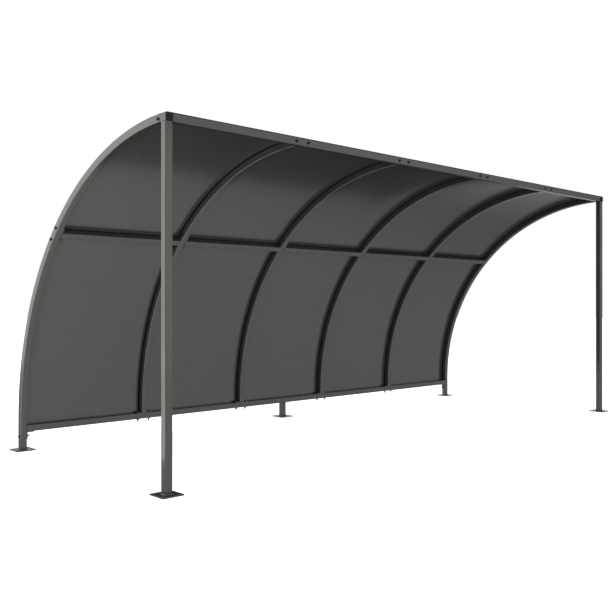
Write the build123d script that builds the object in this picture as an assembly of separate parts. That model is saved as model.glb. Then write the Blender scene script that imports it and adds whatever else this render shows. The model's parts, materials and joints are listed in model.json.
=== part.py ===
"""Five-bay open bike shelter: curved square-tube ribs, purlins and a bent sheet roof.

Millimetres, +Z up. The origin is on the ground at the centre of the footprint,
+X runs along the shelter and +Y points to its closed, curved back.
"""
from build123d import *
import os
from math import cos, radians, sin, sqrt

# ---- driving dimensions -----------------------------------------------------
bay_count = 5             # equal bays between ribs
bay_pitch = 1050.0        # rib centre to rib centre
tube = 50.0               # outer width of every square tube
tube_wall = 3.0
tube_corner = 6.0         # outer corner radius of the tube
bend_radius = 1980.0      # outer face of the quarter-circle ribs
front_run = 20.0          # straight end of a rib in front of its bend
rail_underside = 137.0    # ground to the rear rail
rib_stub = 38.0           # rear rail to the start of the bend
purlin_angle = 44.55      # purlin's place on the quarter circle, up from level

sheet_thickness = 2.0
seat_gap = 0.3            # a round face to the flat or round one that seats on it
sheet_joint = 3.0         # gap between neighbouring sheets, over a rib
sheet_setback = 10.0      # roof's edge inside the end ribs' outer faces
sheet_lap = 30.0          # how far a sheet reaches down behind the rail

flange = 5.0              # thickness of every welded end plate
flange_margin = 2.0       # end plate's edge inside the tube's faces
bolt_spacing = 106.0      # the two bolts of an end plate
bolt_edge = 17.0          # bolt centre to the end of its plate
bolt_hole = 11.0
beam_bolt_offset = 27.0   # beam's rear face to the bolt that holds its end
beam_bolt_drop = 6.0      # beam's centre line to that bolt

bracket_leg = 55.0        # angle cleat under each end of the rear rail
bracket_bolt_drop = 32.0  # rail's underside to the cleat's bolt

base_size = 145.0
base_thickness = 8.0
anchor_spacing = 100.0    # square pattern of ground anchor holes
anchor_hole = 12.0

cap_proud = 6.0           # end cap in front of the rib
cap_chamfer = 3.0
cap_plug = 18.0           # how far the cap's plug enters the tube
cap_clearance = 0.5       # plug to the tube's inner faces

# ---- places that follow from them -------------------------------------------
half = tube / 2
inner_corner = max(tube_corner - tube_wall, 0.5)
frame_length = bay_count * bay_pitch + tube
frame_depth = front_run + bend_radius
front_y = -frame_depth / 2
rear_y = frame_depth / 2
rail_top = rail_underside + tube
bend_y = front_y + front_run
bend_z = rail_top + rib_stub
centre_radius = bend_radius - half
past_bend = max(tube - front_run, 0.0)
beam_top = bend_z + sqrt(bend_radius**2 - past_bend**2)
post_top = bend_z + sqrt((bend_radius - tube) ** 2 - past_bend**2) - seat_gap
rail_y = rear_y - half
beam_y = front_y + half
beam_z = beam_top - half
flange_length = bolt_spacing + 2 * bolt_edge
flange_width = tube - 2 * flange_margin
rib_x = [(i - bay_count / 2) * bay_pitch for i in range(bay_count + 1)]
bolt_offsets = (-bolt_spacing / 2, bolt_spacing / 2)
beam_bolt_y = front_y + tube + beam_bolt_offset
beam_bolt_z = beam_z - beam_bolt_drop
bracket_bolt_z = rail_underside - bracket_bolt_drop
through = 2 * tube        # length of a drill that passes a whole tube

# The purlin's tube is flat while the roof is round, so its outer face sits a
# little inside the ribs' outer face and its two rounded edges meet the roof.
purlin_radius = (
    sqrt((bend_radius - tube_corner) ** 2 - (half - tube_corner) ** 2)
    - (half - tube_corner)
)
purlin_y = bend_y + purlin_radius * cos(radians(purlin_angle))
purlin_z = bend_z + purlin_radius * sin(radians(purlin_angle))


# ---- shared shapes ----------------------------------------------------------
def outer_section():
    """Outline of the square tube, centred, with rounded corners."""
    return RectangleRounded(tube, tube, tube_corner)


def inner_section():
    """Bore of the square tube."""
    bore = tube - 2 * tube_wall
    return RectangleRounded(bore, bore, inner_corner)


def straight_tube(plane, length):
    """Square tube that starts on a plane and runs along its normal."""
    return extrude(plane * (outer_section() - inner_section()), amount=length)


def drill(x, y, z, axis, diameter=bolt_hole):
    """Round cutter, centred on a point, long enough to pass a tube."""
    return Plane(origin=(x, y, z), z_dir=axis) * Cylinder(diameter / 2, through)


def plate(x, y, z, size_x, size_y, size_z):
    """Flat plate, centred on a point."""
    return Pos(x, y, z) * Box(size_x, size_y, size_z)


def purlin_plane(x):
    """Plane across the purlin: its x_dir runs down the rib, its y_dir outwards."""
    angle = radians(purlin_angle)
    down_the_rib = (0, sin(angle), -cos(angle))
    return Plane(origin=(x, purlin_y, purlin_z), x_dir=down_the_rib, z_dir=(1, 0, 0))


def purlin_holes(x):
    """The two bolt holes beside the purlin, through whatever stands at x."""
    cutters = Part()
    for offset in bolt_offsets:
        cutters += purlin_plane(x) * Pos(offset, 0, 0) * Cylinder(bolt_hole / 2, through)
    return cutters


# ---- feet and posts ---------------------------------------------------------
def base_plate(x, y):
    """Square ground plate with four anchor holes."""
    foot = plate(x, y, base_thickness / 2, base_size, base_size, base_thickness)
    for dx in (-anchor_spacing / 2, anchor_spacing / 2):
        for dy in (-anchor_spacing / 2, anchor_spacing / 2):
            foot -= drill(x + dx, y + dy, 0, (0, 0, 1), anchor_hole)
    return foot


def upright(x, y, top):
    """Vertical tube from a base plate up to a given height."""
    return straight_tube(Plane(origin=(x, y, base_thickness)), top - base_thickness)


# ---- ribs -------------------------------------------------------------------
def rib_sweep(section, foot_z):
    """Section swept up the rear leg, round the bend and along the front run."""
    leg = Line((rear_y - half, foot_z), (rear_y - half, bend_z))
    bend = CenterArc((bend_y, bend_z), centre_radius, 0, 90)
    run = Line((bend_y, bend_z + centre_radius), (front_y, bend_z + centre_radius))
    path = Plane.YZ * Wire([leg.edge(), bend.edge(), run.edge()])
    return sweep(Plane(origin=(0, rear_y - half, foot_z)) * section, path=path)


def rib_tube(foot_z):
    """Hollow rib in the plane x = 0."""
    return rib_sweep(outer_section(), foot_z) - rib_sweep(inner_section(), foot_z)


def end_rib(x):
    """Rib that runs down to the ground and forward over the corner post."""
    rib = Pos(x, 0, 0) * rib_tube(base_thickness)
    rib -= purlin_holes(x)
    rib -= drill(x, beam_bolt_y, beam_bolt_z, (1, 0, 0))
    rib -= drill(x, rail_y, bracket_bolt_z, (1, 0, 0))
    return rib


def inner_rib(x):
    """Rib that stands on the rear rail and ends behind the front beam."""
    front_end = front_y + tube + flange
    rib = Pos(x, 0, 0) * rib_tube(rail_top + flange)
    clear = plate(x, front_end - tube, beam_z, 2 * tube, 2 * tube, 2 * tube)
    return rib - clear - purlin_holes(x)


def rib_front_plate(x):
    """Plate on the upper end of an inner rib, against the back of the beam."""
    flange_y = front_y + tube + flange / 2
    shape = plate(x, flange_y, beam_z, flange_length, flange, flange_width)
    for offset in bolt_offsets:
        shape -= drill(x + offset, flange_y, beam_z, (0, 1, 0))
    return shape


def rib_foot_plate(x):
    """Plate on the lower end of an inner rib, on top of the rear rail."""
    flange_z = rail_top + flange / 2
    shape = plate(x, rail_y, flange_z, flange_length, flange_width, flange)
    for offset in bolt_offsets:
        shape -= drill(x + offset, rail_y, flange_z, (0, 0, 1))
    return shape


# ---- beam and rail ----------------------------------------------------------
def long_tube(y, z, gap, hole_axis):
    """Tube along the shelter between the end ribs, drilled at each inner rib."""
    length = frame_length - 2 * tube - 2 * gap
    start = Plane(origin=(-length / 2, y, z), x_dir=(0, 1, 0), z_dir=(1, 0, 0))
    member = straight_tube(start, length)
    for x in rib_x[1:-1]:
        for offset in bolt_offsets:
            member -= drill(x + offset, y, z, hole_axis)
    return member


def inward(side, distance):
    """X of a point at a distance inside an end rib's inner face; side is -1 or 1."""
    return side * (frame_length / 2 - tube - distance)


def beam_end_plate(side):
    """Plate that joins the front beam to an end rib with one bolt."""
    reach = tube + beam_bolt_offset + bolt_edge
    x = inward(side, flange / 2)
    shape = plate(x, front_y + reach / 2, beam_z, flange, reach, flange_width)
    return shape - drill(x, beam_bolt_y, beam_bolt_z, (1, 0, 0))


def rail_bracket(side):
    """Angle cleat under an end of the rear rail, bolted to the end rib."""
    upright_leg = plate(
        inward(side, flange / 2), rail_y, rail_underside - bracket_leg / 2,
        flange, flange_width, bracket_leg,
    )
    level_leg = plate(
        inward(side, bracket_leg / 2), rail_y, rail_underside - flange / 2,
        bracket_leg, flange_width, flange,
    )
    hole = drill(inward(side, flange / 2), rail_y, bracket_bolt_z, (1, 0, 0))
    return upright_leg + level_leg - hole


# ---- purlins ----------------------------------------------------------------
def purlin_tube(left_x):
    """Purlin of the bay that starts at a rib, between its two end plates."""
    start = left_x + half + flange
    return straight_tube(purlin_plane(start), bay_pitch - tube - 2 * flange)


def purlin_plates(left_x):
    """End plates of one bay's purlin, each against a rib's flank."""
    shapes = []
    for x in (left_x + half + flange / 2, left_x + bay_pitch - half - flange / 2):
        shape = purlin_plane(x) * Box(flange_length, flange_width, flange)
        shapes.append(shape - purlin_holes(x))
    return shapes[0] + shapes[1]


# ---- roof -------------------------------------------------------------------
def roof_sheet(bay):
    """Sheet over one bay, from the front edge round to behind the rear rail."""
    inside = bend_radius + seat_gap
    outside = inside + sheet_thickness
    low = rail_top - sheet_lap
    outline = Wire([
        Line((bend_y + inside, low), (bend_y + inside, bend_z)).edge(),
        CenterArc((bend_y, bend_z), inside, 0, 90).edge(),
        Line((bend_y, bend_z + inside), (front_y, bend_z + inside)).edge(),
        Line((front_y, bend_z + inside), (front_y, bend_z + outside)).edge(),
        Line((front_y, bend_z + outside), (bend_y, bend_z + outside)).edge(),
        CenterArc((bend_y, bend_z), outside, 0, 90).edge(),
        Line((bend_y + outside, bend_z), (bend_y + outside, low)).edge(),
        Line((bend_y + outside, low), (bend_y + inside, low)).edge(),
    ])
    first, last = bay == 0, bay == bay_count - 1
    overhang = half - sheet_setback
    left = rib_x[bay] + (-overhang if first else sheet_joint / 2)
    right = rib_x[bay + 1] + (overhang if last else -sheet_joint / 2)
    profile = Plane.YZ.offset(left) * Face(outline)
    return extrude(profile, amount=right - left, dir=(1, 0, 0))


# ---- end caps ---------------------------------------------------------------
def end_cap(x):
    """Moulded cap that closes the front end of an end rib."""
    z = bend_z + centre_radius
    face = Plane(origin=(x, front_y, z), x_dir=(1, 0, 0), z_dir=(0, -1, 0))
    head = extrude(face * outer_section(), amount=cap_proud)
    head = chamfer(head.faces().sort_by(Axis.Y)[0].edges(), cap_chamfer)
    bore = tube - 2 * (tube_wall + cap_clearance)
    corner = max(inner_corner - cap_clearance, 0.4)
    plug = extrude(face * RectangleRounded(bore, bore, corner), amount=-cap_plug)
    return head + plug


# ---- the nodes --------------------------------------------------------------
def build_nodes():
    """Every named piece of the shelter."""
    left, right = rib_x[0], rib_x[-1]
    nodes = {
        "front_post_left": upright(left, beam_y, post_top),
        "front_post_right": upright(right, beam_y, post_top),
        "front_foot_left": base_plate(left, beam_y),
        "front_foot_right": base_plate(right, beam_y),
        "rear_foot_left": base_plate(left, rail_y),
        "rear_foot_right": base_plate(right, rail_y),
        "middle_foot": base_plate(0, rail_y),
        "middle_leg": upright(0, rail_y, rail_underside),
        "end_rib_left": end_rib(left),
        "end_rib_right": end_rib(right),
        "end_cap_left": end_cap(left),
        "end_cap_right": end_cap(right),
        "front_beam": long_tube(beam_y, beam_z, flange, (0, 1, 0)),
        "beam_end_plate_left": beam_end_plate(-1),
        "beam_end_plate_right": beam_end_plate(1),
        "rear_rail": long_tube(rail_y, rail_underside + half, 0.0, (0, 0, 1)),
        "rail_bracket_left": rail_bracket(-1),
        "rail_bracket_right": rail_bracket(1),
    }
    for number, x in enumerate(rib_x[1:-1], start=1):
        nodes[f"rib_{number}"] = inner_rib(x)
        nodes[f"rib_front_plate_{number}"] = rib_front_plate(x)
        nodes[f"rib_foot_plate_{number}"] = rib_foot_plate(x)
    for bay, x in enumerate(rib_x[:-1]):
        nodes[f"purlin_{bay + 1}"] = purlin_tube(x)
        nodes[f"purlin_plates_{bay + 1}"] = purlin_plates(x)
        nodes[f"roof_sheet_{bay + 1}"] = roof_sheet(bay)
    return nodes


os.makedirs("parts", exist_ok=True)
for name, shape in build_nodes().items():
    export_step(shape, f"parts/{name}.step")
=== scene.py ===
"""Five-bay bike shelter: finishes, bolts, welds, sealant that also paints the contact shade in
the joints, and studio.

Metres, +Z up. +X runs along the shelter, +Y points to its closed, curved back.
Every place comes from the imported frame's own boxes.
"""
import json
from math import acos, cos, pi, radians, sin, sqrt, tau

import bmesh
import bpy
from bpy.props import FloatProperty, FloatVectorProperty, PointerProperty
from mathutils import Matrix, Vector


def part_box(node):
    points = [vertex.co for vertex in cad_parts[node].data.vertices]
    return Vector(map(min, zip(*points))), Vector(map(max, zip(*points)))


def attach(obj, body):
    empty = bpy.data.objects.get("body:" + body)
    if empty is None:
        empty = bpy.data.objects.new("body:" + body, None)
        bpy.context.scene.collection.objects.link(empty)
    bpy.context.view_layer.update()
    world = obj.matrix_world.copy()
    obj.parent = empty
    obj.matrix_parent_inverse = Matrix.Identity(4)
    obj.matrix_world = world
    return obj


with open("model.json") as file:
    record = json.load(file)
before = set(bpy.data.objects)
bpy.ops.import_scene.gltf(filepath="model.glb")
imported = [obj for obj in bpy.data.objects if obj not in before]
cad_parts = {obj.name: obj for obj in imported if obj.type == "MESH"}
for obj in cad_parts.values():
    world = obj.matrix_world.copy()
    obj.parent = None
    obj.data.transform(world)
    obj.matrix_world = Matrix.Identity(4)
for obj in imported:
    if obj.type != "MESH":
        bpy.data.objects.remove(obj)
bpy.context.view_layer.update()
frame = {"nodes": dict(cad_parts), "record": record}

bl_info = {
    "name": "Bike Shelter Finish",
    "version": (1, 0, 0),
    "blender": (4, 5, 0),
    "location": "3D View > Sidebar > Shelter",
    # The sealant beads are black so that they also paint the contact shade in the joints.
    "description": "Powder coat, bolts, welds, sealant and studio for a curved bike shelter",
    "category": "Object",
}

BODY = "root"
FRAME_SLOT, SHEET_SLOT, CAP_SLOT = "coated_frame", "coated_sheet", "black_cap"
CREASE = radians(35)        # edges sharper than this stay crisp
MERGE = 1e-6                # points closer than this are one, in metres
FLOOR_RADIUS, FLOOR_SIDES = 60.0, 96
SENSOR_WIDTH = 36.0         # in millimetres


# ---- places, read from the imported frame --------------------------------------
def node_middle(node):
    """Centre of a node's box."""
    low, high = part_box(node)
    return (low + high) / 2


RIBS = sorted(n for n in frame["nodes"] if n.startswith("rib_") and n[4:].isdigit())
BAYS = sorted(n for n in frame["nodes"] if n.startswith("purlin_") and n[7:].isdigit())
RIB_X = [node_middle(n).x for n in RIBS]
LEFT, RIGHT = (node_middle(n).x for n in ("front_post_left", "front_post_right"))
RAIL_LOW, RAIL_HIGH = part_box("rear_rail")
BEAM_LOW, BEAM_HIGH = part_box("front_beam")
TUBE = RAIL_HIGH.z - RAIL_LOW.z
PLATE_LOW, PLATE_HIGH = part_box("rib_front_plate_1")
FLANGE = PLATE_HIGH.y - PLATE_LOW.y
PLATE_LENGTH = PLATE_HIGH.x - PLATE_LOW.x
PURLIN = node_middle("purlin_1")
SHEETS = sorted(n for n in frame["nodes"] if n.startswith("roof_sheet_"))
# Three sizes that no box gives: the ribs' straight run in front of the bend, the
# tube's outer corner radius and the sheet's thickness.
FRONT_RUN, CORNER, SHEET_THICKNESS = 0.020, 0.006, 0.002
BEND_Y = BEAM_LOW.y + FRONT_RUN
BEND_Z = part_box("end_rib_left")[1].z - (RAIL_HIGH.y - BEND_Y)
SHEET_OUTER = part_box(SHEETS[0])[1].z - BEND_Z          # radius of the sheet's outer face
SHEET_INNER = SHEET_OUTER - SHEET_THICKNESS
OUT_OF_RIB = Vector((0, PURLIN.y - BEND_Y, PURLIN.z - BEND_Z)).normalized()
ALONG_RIB = Vector((0, OUT_OF_RIB.z, -OUT_OF_RIB.y))   # down the rib, at the purlin
RAIL_Y = (RAIL_LOW.y + RAIL_HIGH.y) / 2
BEAM_Z = (BEAM_LOW.z + BEAM_HIGH.z) / 2


# ---- sizes and colours a user would change -----------------------------------
def linear(code):
    """Linear RGBA of an sRGB hex colour."""
    shares = [int(code[i:i + 2], 16) / 255 for i in (0, 2, 4)]
    return [c / 12.92 if c <= 0.04045 else ((c + 0.055) / 1.055) ** 2.4 for c in shares] + [1.0]


def colour(name, description, code):
    """A colour property with an sRGB default."""
    return FloatVectorProperty(name=name, description=description, subtype="COLOR",
                               size=4, min=0, max=1, default=linear(code))


def length(name, description, default):
    """A length property, in metres."""
    return FloatProperty(name=name, description=description, default=default,
                         min=0, unit="LENGTH", subtype="DISTANCE", precision=4)


class ShelterFinish(bpy.types.PropertyGroup):
    """Colours of the finishes."""
    frame: colour("Frame", "Powder coat on the tubes and plates", "565553")
    sheet: colour("Sheet", "Powder coat on the roof and back sheets", "595856")
    cap: colour("End caps", "Moulded plastic in the open tube ends", "1B1A19")
    bolt: colour("Bolts", "Bolts, nuts and washers", "222221")
    # Near black, so the sealant beads also paint the contact shade where the sheets meet the
    # tubes: painted shade.
    sealant: colour("Sealant", "Beads between the sheets and the tubes", "050505")


class ShelterFixings(bpy.types.PropertyGroup):
    """Sizes of the bolts, screws and welds."""
    bolt: length("Bolt", "Diameter of the bolts", 0.010)
    across_flats: length("Across flats", "Spanner size of heads and nuts", 0.017)
    head: length("Head", "Height of a bolt's head", 0.0064)
    nut: length("Nut", "Height of a nut's hexagon", 0.0080)
    collar: length("Collar", "Height of a nut's locking collar", 0.0024)
    washer: length("Washer", "Outer diameter of a washer", 0.020)
    washer_thickness: length("Washer thickness", "Thickness of a washer", 0.0020)
    tip: length("Thread tip", "Thread that shows past the nut", 0.0120)
    pitch: length("Thread pitch", "Rise of one thread turn", 0.0015)
    edge: length("Edge", "Bolt centre to the end of its plate", 0.017)
    drop: length("Drop", "Beam's centre line to the bolt at its end", 0.006)
    cleat: length("Cleat", "Foot of a rail cleat up to its bolt", 0.023)
    weld: length("Weld", "Leg of the fillet welds", 0.004)
    ripple: length("Weld ripple", "Distance between the ripples of a weld", 0.004)
    # The beads' width and depth also set how wide the painted contact shade beside the ribs and
    # purlins is.
    rib_bead: length("Rib sealant", "Width of a sealant bead beside a rib", 0.0130)
    purlin_bead: length("Purlin sealant", "Width of a sealant bead beside a purlin", 0.0060)
    bead_depth: length("Sealant depth", "Depth of a sealant bead under a sheet", 0.0022)
    screw_pitch: length("Screw pitch", "Screw to screw along a rib, about", 0.300)
    screw_inset: length("Screw inset", "Sheet's edge to its row of screws", 0.012)
    screw_washer: length("Screw washer", "Diameter of a sheet screw's washer", 0.014)
    screw_flats: length("Screw head", "Spanner size of a sheet screw", 0.008)


class ShelterStage(bpy.types.PropertyGroup):
    """Camera, floor and lamps."""
    eye: FloatVectorProperty(name="Camera", description="Place of the camera", unit="LENGTH",
                             subtype="TRANSLATION", default=(-5.181, -4.853, 1.1026))
    heading: FloatProperty(name="Heading", description="Camera's turn about the vertical",
                           subtype="ANGLE", default=radians(-43.193))
    lens: FloatProperty(name="Lens", description="Focal length in millimetres",
                        default=47.017, min=1)
    floor: colour("Floor", "Pale studio floor", "E8E8E8")
    haze: FloatProperty(name="Floor haze", default=0.8, min=0, max=1,
                        description="White that the lens sees over the floor")


# ---- small tools ---------------------------------------------------------------
def add_node(tree, kind, inputs=None, links=None, **settings):
    """Adds a node with its settings, its own values and its links from other nodes."""
    node = tree.nodes.new(kind)
    for name, value in settings.items():
        setattr(node, name, value)
    for name, value in (inputs or {}).items():
        node.inputs[name].default_value = value
    for name, source in (links or {}).items():
        tree.links.new(source, node.inputs[name])
    return node


def new_material(name):
    """An empty node material and its tree."""
    material = bpy.data.materials.new(name)
    material.use_nodes = True
    material.node_tree.nodes.clear()
    return material, material.node_tree


def store(bm, name):
    """Writes a bmesh into a new mesh and frees it."""
    mesh = bpy.data.meshes.new(name)
    bm.to_mesh(mesh)
    bm.free()
    return mesh


def finish_mesh(bm, name, finish):
    """Makes a closed, smooth piece from a bmesh, which rides on the shelter's body."""
    bmesh.ops.remove_doubles(bm, verts=bm.verts, dist=MERGE)
    bmesh.ops.recalc_face_normals(bm, faces=bm.faces)
    mesh = store(bm, name)
    mesh.shade_smooth()
    mesh.set_sharp_from_angle(angle=CREASE)
    mesh.materials.append(finish)
    piece = bpy.data.objects.new(name, mesh)
    bpy.context.scene.collection.objects.link(piece)
    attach(piece, BODY)
    return piece


def lathe(bm, outline, steps):
    """Turns an outline of (radius, height) points about Z into a closed skin."""
    verts = [bm.verts.new((radius, 0, height)) for radius, height in outline]
    edges = [bm.edges.new(pair) for pair in zip(verts, verts[1:])]
    bmesh.ops.spin(bm, geom=verts + edges, axis=(0, 0, 1), cent=(0, 0, 0),
                   steps=steps, angle=tau, use_merge=True)


def hexagon(bm, across, low, high, chamfer, both=False):
    """Hexagonal prism with its upper rim, or both rims, chamfered."""
    made = bmesh.ops.create_circle(bm, cap_ends=True, segments=6,
                                   radius=across / 2 / cos(pi / 6),
                                   matrix=Matrix.Translation((0, 0, low)))
    base = made["verts"][0].link_faces[0]
    grown = bmesh.ops.extrude_face_region(bm, geom=[base], use_keep_orig=True)["geom"]
    top = [v for v in grown if isinstance(v, bmesh.types.BMVert)]
    bmesh.ops.translate(bm, verts=top, vec=(0, 0, high - low))
    rims = [e for v in top for e in v.link_edges if all(w in top for w in e.verts)]
    if both:
        rims += list(base.edges)
    bmesh.ops.bevel(bm, geom=list(dict.fromkeys(rims)), offset=chamfer, offset_type="OFFSET",
                    affect="EDGES", segments=1, profile=0.5, material=-1)


def pose(place, direction):
    """Matrix that stands a shape's Z on a direction at a place."""
    turn = Vector(direction).to_track_quat("Z", "Y").to_matrix().to_4x4()
    return Matrix.Translation(place) @ turn


def stand(place, normal, across):
    """Matrix that stands a shape's Z on a normal and its Y along another direction."""
    normal, across = Vector(normal), Vector(across)
    turn = Matrix((across.cross(normal), across, normal)).transposed().to_4x4()
    return Matrix.Translation(place) @ turn


def close_ends(bm):
    """Caps the open ends of swept or cut sections."""
    bmesh.ops.holes_fill(bm, edges=[e for e in bm.edges if e.is_boundary], sides=0)


def stamp(bm, mesh, matrices):
    """Copies a mesh into a bmesh once for every matrix."""
    for matrix in matrices:
        known = len(bm.verts)
        bm.from_mesh(mesh)
        bm.verts.ensure_lookup_table()
        bmesh.ops.transform(bm, matrix=matrix, verts=bm.verts[known:])


# ---- materials -----------------------------------------------------------------
def flake_coat(name, tone, peel_mm, gloss, flakes, edge):
    """Micaceous iron oxide powder coat: metallic flakes in a dark binder, baked on steel.

    The eye gets a warm dark grey whose soft mirror comes from the flakes, so it
    is nearly as strong face on as along the surface. edge is what is left of it
    along the surface. The flakes lie in faint clouds, and the cured film has an
    orange peel, peel_mm across, that breaks the reflections.
    """
    material, tree = new_material(name)
    place = add_node(tree, "ShaderNodeTexCoord").outputs["Object"]
    # Flake clouds about 12 mm across, coarser than the 0.1 mm flakes so that they show.
    cloud = add_node(tree, "ShaderNodeTexNoise",
                     {"Scale": 1 / 0.012, "Detail": 3, "Roughness": 0.6}, {"Vector": place})
    # Orange peel: domes a few millimetres across.
    peel = add_node(tree, "ShaderNodeTexNoise",
                    {"Scale": 1000 / peel_mm, "Detail": 2, "Roughness": 0.5}, {"Vector": place})
    shade = add_node(tree, "ShaderNodeMapRange",
                     {"From Min": 0.3, "From Max": 0.7, "To Min": 0.90, "To Max": 1.10},
                     {"Value": cloud.outputs["Fac"]})
    tint = add_node(tree, "ShaderNodeVectorMath", {0: tone[:3]}, {"Scale": shade.outputs[0]},
                    operation="SCALE")
    rough = add_node(tree, "ShaderNodeMapRange",
                     {"From Min": 0.3, "From Max": 0.7,
                      "To Min": gloss - 0.03, "To Max": gloss + 0.03},
                     {"Value": cloud.outputs["Fac"]})
    bump = add_node(tree, "ShaderNodeBump", {"Strength": 0.25, "Distance": 0.00008},
                    {"Height": peel.outputs["Fac"]})
    coat = add_node(tree, "ShaderNodeBsdfPrincipled",
                    {"Metallic": flakes, "Specular Tint": (edge, edge, edge, 1),
                     "Specular IOR Level": 0.3},
                    {"Base Color": tint.outputs[0], "Roughness": rough.outputs[0],
                     "Normal": bump.outputs[0]})
    add_node(tree, "ShaderNodeOutputMaterial", links={"Surface": coat.outputs[0]})
    return material


def moulded_cap(tone):
    """Black polyethylene, injection moulded: dull, with a spark-eroded grain."""
    material, tree = new_material("Moulded_Polyethylene")
    place = add_node(tree, "ShaderNodeTexCoord").outputs["Object"]
    # Grain of 0.1 mm in the mould, drawn as 1.5 mm so that it shows.
    grain = add_node(tree, "ShaderNodeTexNoise", {"Scale": 1 / 0.0015, "Detail": 3},
                     {"Vector": place})
    rough = add_node(tree, "ShaderNodeMapRange", {"To Min": 0.5, "To Max": 0.65},
                     {"Value": grain.outputs["Fac"]})
    bump = add_node(tree, "ShaderNodeBump", {"Strength": 0.4, "Distance": 0.0001},
                    {"Height": grain.outputs["Fac"]})
    plastic = add_node(tree, "ShaderNodeBsdfPrincipled",
                       {"Base Color": tone, "IOR": 1.5, "Specular IOR Level": 0.15},
                       {"Roughness": rough.outputs[0], "Normal": bump.outputs[0]})
    add_node(tree, "ShaderNodeOutputMaterial", links={"Surface": plastic.outputs[0]})
    return material


def blackened_bolt(tone):
    """Zinc-flake coated steel, dipped and baked: dark, dull and a little patchy."""
    material, tree = new_material("Zinc_Flake_Bolt_Steel")
    place = add_node(tree, "ShaderNodeTexCoord").outputs["Object"]
    # Patches 2 mm across, coarser than the flakes so that they show.
    flake = add_node(tree, "ShaderNodeTexNoise", {"Scale": 1 / 0.002, "Detail": 4},
                     {"Vector": place})
    shade = add_node(tree, "ShaderNodeMapRange", {"To Min": 0.7, "To Max": 1.3},
                     {"Value": flake.outputs["Fac"]})
    tint = add_node(tree, "ShaderNodeVectorMath", {0: tone[:3]}, operation="SCALE",
                    links={"Scale": shade.outputs[0]})
    rough = add_node(tree, "ShaderNodeMapRange", {"To Min": 0.6, "To Max": 0.8},
                     {"Value": flake.outputs["Fac"]})
    steel = add_node(tree, "ShaderNodeBsdfPrincipled", {"Specular IOR Level": 0.2},
                     {"Base Color": tint.outputs[0], "Roughness": rough.outputs[0]})
    add_node(tree, "ShaderNodeOutputMaterial", links={"Surface": steel.outputs[0]})
    return material


def butyl_sealant_and_painted_shade(tone):
    """Black butyl sealant, gunned in: a matt line, slightly uneven where it was drawn out. Its
    near-black tone also paints the contact shade in the joints beside the ribs and purlins.
    """
    material, tree = new_material("Butyl_Sealant_And_Painted_Shade")
    place = add_node(tree, "ShaderNodeTexCoord").outputs["Object"]
    # Swells 15 mm apart, left by the gun.
    swell = add_node(tree, "ShaderNodeTexNoise", {"Scale": 1 / 0.015, "Detail": 2},
                     {"Vector": place})
    rough = add_node(tree, "ShaderNodeMapRange", {"To Min": 0.6, "To Max": 0.85},
                     {"Value": swell.outputs["Fac"]})
    bump = add_node(tree, "ShaderNodeBump", {"Strength": 0.4, "Distance": 0.0002},
                    {"Height": swell.outputs["Fac"]})
    rubber = add_node(tree, "ShaderNodeBsdfPrincipled",
                      {"Base Color": tone, "IOR": 1.5, "Specular IOR Level": 0.1},
                      {"Roughness": rough.outputs[0], "Normal": bump.outputs[0]})
    add_node(tree, "ShaderNodeOutputMaterial", links={"Surface": rubber.outputs[0]})
    return material


def rays_that_see(tree, *kinds):
    """1 for the kinds of ray named, 0 for the rest."""
    path = add_node(tree, "ShaderNodeLightPath")
    total = path.outputs[kinds[0]]
    for kind in kinds[1:]:
        both = add_node(tree, "ShaderNodeMath", operation="ADD", use_clamp=True,
                        links={0: total, 1: path.outputs[kind]})
        total = both.outputs[0]
    return total


def studio_floor(tone, haze):
    """Matt painted floor that keeps the shelter's soft shadow.

    Its paint and a veil of haze add up to white for the lens, and the coat
    mirrors the same white.
    """
    material, tree = new_material("Matt_Studio_Floor")
    lens = rays_that_see(tree, "Is Camera Ray")
    mirrors = rays_that_see(tree, "Is Glossy Ray", "Is Transmission Ray")
    veil = add_node(tree, "ShaderNodeMath", {1: haze}, {0: lens}, operation="MULTIPLY")
    paint = add_node(tree, "ShaderNodeBsdfDiffuse", {"Color": tone})
    glow = add_node(tree, "ShaderNodeEmission", links={"Strength": veil.outputs[0]})
    seen = add_node(tree, "ShaderNodeAddShader",
                    links={0: paint.outputs[0], 1: glow.outputs[0]})
    mirrored = add_node(tree, "ShaderNodeEmission", {"Strength": 1.0})
    mix = add_node(tree, "ShaderNodeMixShader",
                   links={0: mirrors, 1: seen.outputs[0], 2: mirrored.outputs[0]})
    add_node(tree, "ShaderNodeOutputMaterial", links={"Surface": mix.outputs[0]})
    material.cycles.emission_sampling = "NONE"
    return material


def studio_world():
    """White studio walls: the lens, the coat and the light all see plain white."""
    world = bpy.data.worlds.new("studio_white")
    world.use_nodes = True
    world.node_tree.nodes.clear()
    walls = add_node(world.node_tree, "ShaderNodeBackground",
                     {"Color": (1, 1, 1, 1), "Strength": 1.0})
    add_node(world.node_tree, "ShaderNodeOutputWorld", links={"Surface": walls.outputs[0]})
    world.cycles.sampling_method = "NONE"
    return world


def made_material(name):
    """A material made by an earlier operator."""
    return bpy.data.materials[name]


# ---- bolts ---------------------------------------------------------------------
# Sides of the turned shapes, few because the shapes are small and many.
WASHER_SIDES, COLLAR_SIDES, SHANK_SIDES = 20, 18, 14
HEAD_CHAMFER, NUT_CHAMFER, TIP_CHAMFER = 0.0011, 0.0009, 0.0008
WASHER_EDGE = 5             # a washer's thickness over its chamfer
THREAD_ROOT = 0.86          # radius of the thread's root, as a share of the bolt's
POINT = 0.8                 # radius of the bolt's flat end, as a share of the bolt's
COLLAR = 0.43               # radius of a nut's collar, as a share of its spanner size
COLLAR_WALL = 0.6           # share of the collar's height that is straight
COLLAR_TOP = 0.86           # radius where its cone ends, as a share of the collar's


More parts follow.
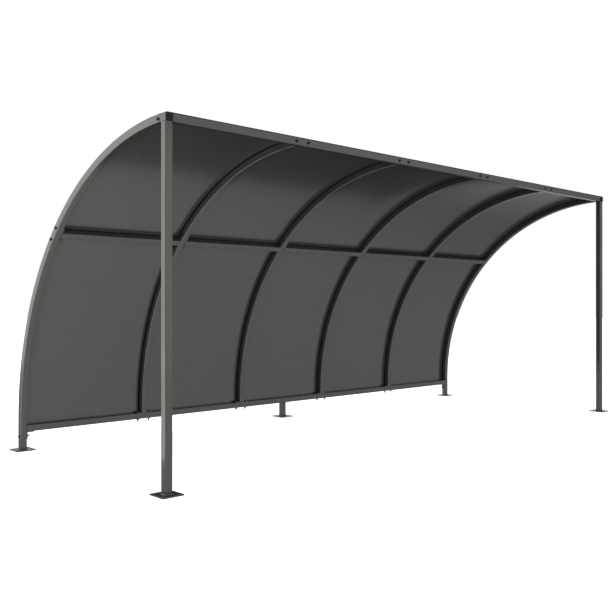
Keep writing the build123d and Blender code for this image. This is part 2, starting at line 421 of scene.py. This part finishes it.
def bolt_mesh(fixings, grip):
    """Hexagon bolt with washers, nut and thread tip. Z = 0 is the face under its head."""
    bm = bmesh.new()
    shank, washer, thick = fixings.bolt / 2, fixings.washer / 2, fixings.washer_thickness
    rim = thick / WASHER_EDGE
    nut_top = -grip - thick
    for low in (0.0, nut_top):
        lathe(bm, [(shank, low), (washer - rim, low), (washer, low + rim),
                   (washer, low + thick - rim), (washer - rim, low + thick),
                   (shank, low + thick), (shank, low)], WASHER_SIDES)
    hexagon(bm, fixings.across_flats, thick, thick + fixings.head, HEAD_CHAMFER)
    hexagon(bm, fixings.across_flats, nut_top - fixings.nut, nut_top, NUT_CHAMFER, both=True)

    nut_end = nut_top - fixings.nut
    collar_end = nut_end - fixings.collar
    collar = fixings.across_flats * COLLAR
    lathe(bm, [(shank, nut_end), (collar, nut_end),
               (collar, nut_end - COLLAR_WALL * fixings.collar),
               (collar * COLLAR_TOP, collar_end), (shank, collar_end), (shank, nut_end)],
          COLLAR_SIDES)

    turns = max(round((fixings.tip + fixings.collar) / fixings.pitch), 1)
    step = fixings.tip / turns
    thread = [(0, thick), (shank, thick), (shank, collar_end)]
    for turn in range(turns):
        thread += [(shank * THREAD_ROOT, collar_end - step * (turn + 0.5)),
                   (shank, collar_end - step * (turn + 1))]
    point = collar_end - fixings.tip - TIP_CHAMFER
    thread += [(shank * POINT, point), (0, point)]
    lathe(bm, thread, SHANK_SIDES)
    bmesh.ops.remove_doubles(bm, verts=bm.verts, dist=MERGE)
    return store(bm, "bolt_pattern")


def bolt_group(name, fixings, grip, places):
    """One piece that holds a group of like bolts, each given as (place, direction)."""
    pattern = bolt_mesh(fixings, grip)
    bm = bmesh.new()
    stamp(bm, pattern, [pose(place, direction) for place, direction in places])
    bpy.data.meshes.remove(pattern)
    return finish_mesh(bm, name, made_material("Zinc_Flake_Bolt_Steel"))


# ---- welds and screws ----------------------------------------------------------
# A weld's section and ripples, as shares of its leg.
WELD_SINK, WELD_NEAR, WELD_FAR = 0.1, 0.3, 0.85
RIPPLE_BELOW, RIPPLE_RISE = 0.9, 0.12
SEAM_RADIUS, SEAM_SIDES = 0.55, 8
WELD_CORNER_STEPS = 3       # round a tube's corner
WELD_MERGE = 1e-5           # where a weld's loop closes, in metres
# Heights over the sheet of a sheet screw's washer, then its head's heights and chamfer.
WASHER_FOOT, WASHER_RIM, WASHER_CROWN, WASHER_TOP = -0.0002, 0.0016, 0.0026, 0.0030
WASHER_SHOULDER = 0.86      # radius where the dome starts, as a share of the washer's
SCREW_LOW, SCREW_HIGH, SCREW_CHAMFER, SCREW_SIDES = 0.0024, 0.0066, 0.0006, 12
FIRST_SCREW, LAST_SCREW = radians(2), radians(88)   # just inside the ends of the bend


def weld_loop(fixings):
    """Fillet weld round a square tube that stands on a plate at Z = 0."""
    leg, half = fixings.weld, TUBE / 2
    straight = half - CORNER
    bm = bmesh.new()
    # A bulging bead between two toes, sunk a little into the tube and the plate.
    sink, near, far = leg * WELD_SINK, leg * WELD_NEAR, leg * WELD_FAR
    outline = [(half - sink, -sink), (half + leg, -sink), (half + far, near),
               (half + near, far), (half - sink, leg)]
    verts = [bm.verts.new((x, -straight, z)) for x, z in outline]
    ends = verts + [bm.edges.new(pair) for pair in zip(verts, verts[1:] + verts[:1])]
    runs = 2 * max(round(straight / fixings.ripple), 1)
    for quarter in range(4):
        turn = Matrix.Rotation(quarter * pi / 2, 3, "Z")
        for centre, step, angle, steps in (
            (Vector((0, 0, 0)), turn @ Vector((0, 2 * straight / runs, 0)), 0.0, runs),
            (turn @ Vector((straight, straight, 0)), Vector((0, 0, 0)), pi / 2,
             WELD_CORNER_STEPS),
        ):
            made = bmesh.ops.spin(bm, geom=ends, cent=centre, axis=(0, 0, 1), dvec=step,
                                  angle=angle, steps=steps, use_merge=False)
            ends = made["geom_last"]
    bmesh.ops.remove_doubles(bm, verts=bm.verts, dist=WELD_MERGE)
    # Every second ripple stands a little higher.
    ridge = [v for v in bm.verts if 0 < v.co.z < leg * RIPPLE_BELOW
             and round((v.co.x + v.co.y) / fixings.ripple) % 2]
    bmesh.ops.translate(bm, verts=ridge, vec=(0, 0, leg * RIPPLE_RISE))
    return store(bm, "weld_pattern")


def cut_loop(mesh, name, planes):
    """Copy of a weld loop without what lies past some planes, its cut ends closed."""
    bm = bmesh.new()
    bm.from_mesh(mesh)
    for point, normal in planes:
        bmesh.ops.bisect_plane(bm, geom=bm.verts[:] + bm.edges[:] + bm.faces[:],
                               plane_co=point, plane_no=normal, clear_outer=True)
    close_ends(bm)
    return store(bm, name)


def weld_seam(bm, fixings, start, end):
    """Straight bead between two points, half sunk in the corner that it fills."""
    start, run = Vector(start), Vector(end) - Vector(start)
    made = bmesh.ops.create_circle(bm, cap_ends=True, segments=SEAM_SIDES,
                                   radius=fixings.weld * SEAM_RADIUS, matrix=pose(start, run))
    steps = max(round(run.length / fixings.ripple), 1)
    bmesh.ops.spin(bm, geom=[made["verts"][0].link_faces[0]], cent=start, axis=run,
                   dvec=run / steps, angle=0, steps=steps, use_merge=False)


def screw_mesh(fixings):
    """Hexagon screw with a bonded sealing washer, standing on Z = 0."""
    bm = bmesh.new()
    rim = fixings.screw_washer / 2
    lathe(bm, [(0, WASHER_FOOT), (rim, WASHER_FOOT), (rim, WASHER_RIM),
               (rim * WASHER_SHOULDER, WASHER_CROWN), (0, WASHER_TOP)], SCREW_SIDES)
    hexagon(bm, fixings.screw_flats, SCREW_LOW, SCREW_HIGH, SCREW_CHAMFER)
    return store(bm, "screw_pattern")


def screw_row(fixings, x):
    """Matrices of one row of sheet screws, round the bend from the foot to the front."""
    gaps = max(round(SHEET_OUTER * pi / 2 / fixings.screw_pitch), 1)
    angles = [FIRST_SCREW + (LAST_SCREW - FIRST_SCREW) * i / gaps for i in range(gaps + 1)]
    return [pose((x, BEND_Y + SHEET_OUTER * cos(a), BEND_Z + SHEET_OUTER * sin(a)),
                 (0, cos(a), sin(a))) for a in angles]


# ---- sealant, black so that it also paints the contact shade in the joints -----
BEAD_TUCK = 0.45            # share of the tube's corner radius that a bead reaches under
BEAD_ROUND = 0.4            # share of a bead's depth that its outer edge is cut back
BEAD_CLEAR = 0.0001         # between a bead and the sheet
BEND_STEPS = 64             # of a bead round the quarter bend


def bead_section(bm, width, depth, side, seat, place):
    """Section of a bead under the sheet, tucked under the rounded corner of a tube.

    place maps a distance across the tube and one outwards to a point.
    """
    inner = TUBE / 2 - CORNER * BEAD_TUCK
    outer = inner + width
    high, low = seat - BEAD_CLEAR, seat - depth
    round_off = depth * BEAD_ROUND
    points = [(inner, high), (outer, high), (outer, low + round_off), (outer - round_off, low),
              (inner, low)]
    verts = [bm.verts.new(place(side * across, outward)) for across, outward in points]
    return verts + [bm.edges.new(pair) for pair in zip(verts, verts[1:] + verts[:1])]


def rib_bead(bm, fixings, x, side, low):
    """Bead down a rib: round the bend from behind the beam, then straight to its foot."""
    start = acos((PLATE_HIGH.y - BEND_Y) / SHEET_INNER)
    section = bead_section(
        bm, fixings.rib_bead, fixings.bead_depth, side, SHEET_INNER, lambda across, out: Vector(
            (x + across, BEND_Y + out * cos(start), BEND_Z + out * sin(start))))
    bend = bmesh.ops.spin(bm, geom=section, cent=(x, BEND_Y, BEND_Z), axis=(-1, 0, 0),
                          angle=start, steps=BEND_STEPS, use_merge=False)
    bmesh.ops.spin(bm, geom=bend["geom_last"], cent=(x, BEND_Y, BEND_Z), axis=(1, 0, 0),
                   angle=0, dvec=(0, 0, low - BEND_Z), steps=1, use_merge=False)


def purlin_bead(bm, fixings, start_x, end_x, side):
    """Bead along a purlin, in the groove between its rounded edge and the sheet."""
    seat = sqrt(SHEET_INNER ** 2 - (TUBE / 2) ** 2)
    bend = Vector((start_x, BEND_Y, BEND_Z))
    section = bead_section(
        bm, fixings.purlin_bead, fixings.bead_depth, side, seat,
        lambda across, out: bend + OUT_OF_RIB * out + ALONG_RIB * across)
    bmesh.ops.spin(bm, geom=section, cent=bend, axis=(1, 0, 0), angle=0,
                   dvec=(end_x - start_x, 0, 0), steps=1, use_merge=False)


# ---- operators -----------------------------------------------------------------
class SHELTER_OT_materials(bpy.types.Operator):
    """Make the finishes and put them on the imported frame"""
    bl_idname = "shelter.materials"
    bl_label = "Finishes"
    bl_options = {"REGISTER", "UNDO"}

    def execute(self, context):
        finish = context.scene.shelter_finish
        made = {
            FRAME_SLOT: flake_coat("Flake_Coated_Tube", list(finish.frame),
                                   peel_mm=3.0, gloss=0.16, flakes=0.62, edge=0.30),
            SHEET_SLOT: flake_coat("Flake_Coated_Sheet", list(finish.sheet),
                                   peel_mm=5.0, gloss=0.19, flakes=0.60, edge=0.16),
            CAP_SLOT: moulded_cap(list(finish.cap)),
        }
        blackened_bolt(list(finish.bolt))
        flake_coat("Flake_Coated_Weld", list(finish.frame),
                   peel_mm=2.0, gloss=0.22, flakes=0.55, edge=0.30)
        # Near-black sealant, which also paints the contact shade in the joints.
        butyl_sealant_and_painted_shade(list(finish.sealant))
        for part in frame["record"]["subparts"]:
            for slot in frame["nodes"][part["node"]].material_slots:
                slot.material = made[part["material_slot"]]
        return {"FINISHED"}


class SHELTER_OT_bolts(bpy.types.Operator):
    """Bolt the ribs, purlins, beam and rail together"""
    bl_idname = "shelter.bolts"
    bl_label = "Bolts"
    bl_options = {"REGISTER", "UNDO"}

    def execute(self, context):
        fixings = context.scene.shelter_fixings
        offset = PLATE_LENGTH / 2 - fixings.edge
        pair = (-offset, offset)
        bolt_group("beam_bolts", fixings, TUBE + FLANGE,
                   [((x + dx, BEAM_LOW.y, BEAM_Z), (0, -1, 0)) for x in RIB_X for dx in pair])
        bolt_group("rail_bolts", fixings, TUBE + FLANGE,
                   [((x + dx, RAIL_Y, RAIL_HIGH.z + FLANGE), (0, 0, 1))
                    for x in RIB_X for dx in pair])
        bolt_group("purlin_bolts", fixings, TUBE + 2 * FLANGE,
                   [((x - TUBE / 2 - FLANGE, *(PURLIN + ALONG_RIB * d).yz), (-1, 0, 0))
                    for x in RIB_X for d in pair])
        places = []
        for x, side, end in ((LEFT, -1, "left"), (RIGHT, 1, "right")):
            face = x + side * TUBE / 2
            plate_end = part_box("beam_end_plate_" + end)[1].y
            cleat_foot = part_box("rail_bracket_" + end)[0].z
            for y, z in ((PURLIN + ALONG_RIB * pair[0]).yz, (PURLIN + ALONG_RIB * pair[1]).yz,
                         (plate_end - fixings.edge, BEAM_Z - fixings.drop),
                         (RAIL_Y, cleat_foot + fixings.cleat)):
                places.append(((face, y, z), (side, 0, 0)))
        bolt_group("end_rib_bolts", fixings, TUBE + FLANGE, places)
        return {"FINISHED"}


class SHELTER_OT_welds(bpy.types.Operator):
    """Weld the tubes to their plates"""
    bl_idname = "shelter.welds"
    bl_label = "Welds"
    bl_options = {"REGISTER", "UNDO"}

    def execute(self, context):
        fixings = context.scene.shelter_fixings
        coat = made_material("Flake_Coated_Weld")
        flat = TUBE / 2 - CORNER / 2
        ring = weld_loop(fixings)
        # End plates are narrower than their tube, so only the sides that lie on the
        # plate's length are welded, and at the beam's ends only the rear side.
        pair = cut_loop(ring, "pair_of_welds",
                        [((0, flat, 0), (0, 1, 0)), ((0, -flat, 0), (0, -1, 0))])
        single = cut_loop(pair, "single_weld", [((0, 0, 0), (-1, 0, 0))])

        post_y = node_middle("front_post_left").y
        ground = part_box("middle_foot")[1].z
        east, north, up = Vector((1, 0, 0)), Vector((0, 1, 0)), Vector((0, 0, 1))
        inner_left = LEFT + TUBE / 2 + FLANGE
        inner_right = RIGHT - TUBE / 2 - FLANGE
        purlin_ends = [((x + side * (TUBE / 2 + FLANGE), *PURLIN.yz), east * side)
                       for x in [LEFT] + RIB_X + [RIGHT] for side in (-1, 1)
                       if LEFT < x + side * TUBE < RIGHT]
        groups = {
            "foot_welds": (ring, [stand(place, up, north) for place in (
                (LEFT, post_y, ground), (RIGHT, post_y, ground), (LEFT, RAIL_Y, ground),
                (RIGHT, RAIL_Y, ground), (0, RAIL_Y, ground))]),
            "leg_head_welds": (pair, [stand((0, RAIL_Y, RAIL_LOW.z), -up, north)]),
            "rib_foot_welds": (pair, [
                stand((x, RAIL_Y, RAIL_HIGH.z + FLANGE), up, north) for x in RIB_X]),
            "rib_front_welds": (pair, [
                stand((x, PLATE_HIGH.y, BEAM_Z), north, up) for x in RIB_X]),
            "beam_end_welds": (single, [
                stand((inner_left, (BEAM_LOW.y + BEAM_HIGH.y) / 2, BEAM_Z), east, up),
                stand((inner_right, (BEAM_LOW.y + BEAM_HIGH.y) / 2, BEAM_Z), -east, -up)]),
            "purlin_welds": (pair, [
                stand(place, away, OUT_OF_RIB) for place, away in purlin_ends]),
        }
        for name, (mesh, matrices) in groups.items():
            bm = bmesh.new()
            stamp(bm, mesh, matrices)
            finish_mesh(bm, name, coat)
        for mesh in (ring, pair, single):
            bpy.data.meshes.remove(mesh)

        bm = bmesh.new()
        for x, end in ((LEFT, "left"), (RIGHT, "right")):
            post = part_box("front_post_" + end)[1]
            weld_seam(bm, fixings, (x - flat, post.y, post.z), (x + flat, post.y, post.z))
            low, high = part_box("rail_bracket_" + end)
            for y in (low.y, high.y):
                weld_seam(bm, fixings, (low.x + CORNER, y, RAIL_LOW.z),
                          (high.x - CORNER, y, RAIL_LOW.z))
        finish_mesh(bm, "seam_welds", coat)
        return {"FINISHED"}


class SHELTER_OT_sealant_and_shade(bpy.types.Operator):
    """Seal the sheets against the ribs and purlins with black beads that also paint the contact
    shade in those joints
    """
    bl_idname = "shelter.sealant"
    bl_label = "Sealant"
    bl_options = {"REGISTER", "UNDO"}

    def execute(self, context):
        fixings = context.scene.shelter_fixings
        black = made_material("Butyl_Sealant_And_Painted_Shade")
        # The black beads seal every rib and purlin joint and also paint the contact shade in
        # it: painted shade.
        bm = bmesh.new()
        foot = RAIL_HIGH.z + FLANGE
        for x in RIB_X:
            for side in (-1, 1):
                rib_bead(bm, fixings, x, side, foot)
        rib_bead(bm, fixings, LEFT, 1, foot)
        rib_bead(bm, fixings, RIGHT, -1, foot)
        close_ends(bm)
        finish_mesh(bm, "rib_sealant_and_painted_shade", black)
        bm = bmesh.new()
        for node in BAYS:
            low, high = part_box(node)
            for side in (-1, 1):
                purlin_bead(bm, fixings, low.x, high.x, side)
        close_ends(bm)
        finish_mesh(bm, "purlin_sealant_and_painted_shade", black)
        return {"FINISHED"}


class SHELTER_OT_screws(bpy.types.Operator):
    """Screw the sheets to the ribs from outside"""
    bl_idname = "shelter.screws"
    bl_label = "Sheet screws"
    bl_options = {"REGISTER", "UNDO"}

    def execute(self, context):
        fixings = context.scene.shelter_fixings
        pattern = screw_mesh(fixings)
        bm = bmesh.new()
        for sheet in SHEETS:
            low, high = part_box(sheet)
            for x in (low.x + fixings.screw_inset, high.x - fixings.screw_inset):
                stamp(bm, pattern, screw_row(fixings, x))
        bpy.data.meshes.remove(pattern)
        finish_mesh(bm, "sheet_screws", made_material("Zinc_Flake_Bolt_Steel"))
        return {"FINISHED"}


class SHELTER_OT_stage(bpy.types.Operator):
    """Lay the pale floor, hang the soft lamps and set the camera"""
    bl_idname = "shelter.stage"
    bl_label = "Studio"
    bl_options = {"REGISTER", "UNDO"}

    def execute(self, context):
        stage = context.scene.shelter_stage
        scene = context.scene
        bm = bmesh.new()
        bmesh.ops.create_circle(bm, cap_ends=True, segments=FLOOR_SIDES,
                                radius=FLOOR_RADIUS)
        mesh = store(bm, "studio_floor")
        mesh.materials.append(studio_floor(list(stage.floor), stage.haze))
        floor = bpy.data.objects.new("studio_floor", mesh)
        scene.collection.objects.link(floor)

        scene.world = studio_world()

        # Each lamp: name, place, what it faces, width and height, power. The panel
        # lies flat over the floor, and its slight lean sets which way its length points.
        for name, place, target, size, watts in (
            ("softbox_rear_left", (-6.2, 7.9, 2.3), (-2.65, 0.0, 1.0), (4.6, 4.6), 190),
            ("floor_panel_left", (-5.55, 3.4, 0.1), (-5.54, 3.38, 1.1), (2.0, 8.4), 130),
            ("softbox_left", (-5.6, 1.0, 4.6), (-3.2, 0.3, 0.0), (2.6, 4.0), 70),
            ("softbox_front", (3.2, -8.0, 1.9), (0.0, 0.0, 1.0), (8.0, 3.8), 35),
        ):
            data = bpy.data.lights.new(name, "AREA")
            data.shape = "RECTANGLE"
            data.size, data.size_y = size
            data.energy = watts
            lamp = bpy.data.objects.new(name, data)
            lamp.location = place
            aim = Vector(target) - Vector(place)
            lamp.rotation_euler = aim.to_track_quat("-Z", "Y").to_euler()
            scene.collection.objects.link(lamp)

        data = bpy.data.cameras.new("shelter_camera")
        data.sensor_width = SENSOR_WIDTH
        data.lens = stage.lens
        camera = bpy.data.objects.new("shelter_camera", data)
        camera.location = stage.eye
        camera.rotation_euler = (radians(90), 0, stage.heading)
        scene.collection.objects.link(camera)
        scene.camera = camera
        scene.view_settings.view_transform = "Standard"
        return {"FINISHED"}


class SHELTER_PT_build(bpy.types.Panel):
    """Lists the steps that dress the shelter"""
    bl_idname = "SHELTER_PT_build"
    bl_label = "Bike Shelter"
    bl_space_type = "VIEW_3D"
    bl_region_type = "UI"
    bl_category = "Shelter"

    def draw(self, context):
        for step in STEPS:
            self.layout.operator(step.bl_idname)
        for group in (context.scene.shelter_finish, context.scene.shelter_fixings,
                      context.scene.shelter_stage):
            box = self.layout.box()
            for name in group.__annotations__:
                box.prop(group, name)


STEPS = (SHELTER_OT_materials, SHELTER_OT_bolts, SHELTER_OT_welds, SHELTER_OT_sealant_and_shade,
         SHELTER_OT_screws, SHELTER_OT_stage)
CLASSES = (ShelterFinish, ShelterFixings, ShelterStage) + STEPS + (SHELTER_PT_build,)


def register():
    for cls in CLASSES:
        bpy.utils.register_class(cls)
    bpy.types.Scene.shelter_finish = PointerProperty(type=ShelterFinish)
    bpy.types.Scene.shelter_fixings = PointerProperty(type=ShelterFixings)
    bpy.types.Scene.shelter_stage = PointerProperty(type=ShelterStage)


def unregister():
    del bpy.types.Scene.shelter_stage
    del bpy.types.Scene.shelter_fixings
    del bpy.types.Scene.shelter_finish
    for cls in reversed(CLASSES):
        bpy.utils.unregister_class(cls)


def main():
    """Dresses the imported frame."""
    register()
    bpy.ops.shelter.materials()
    bpy.ops.shelter.bolts()
    bpy.ops.shelter.welds()
    bpy.ops.shelter.sealant()
    bpy.ops.shelter.screws()
    bpy.ops.shelter.stage()


if __name__ == "__main__":
    main()
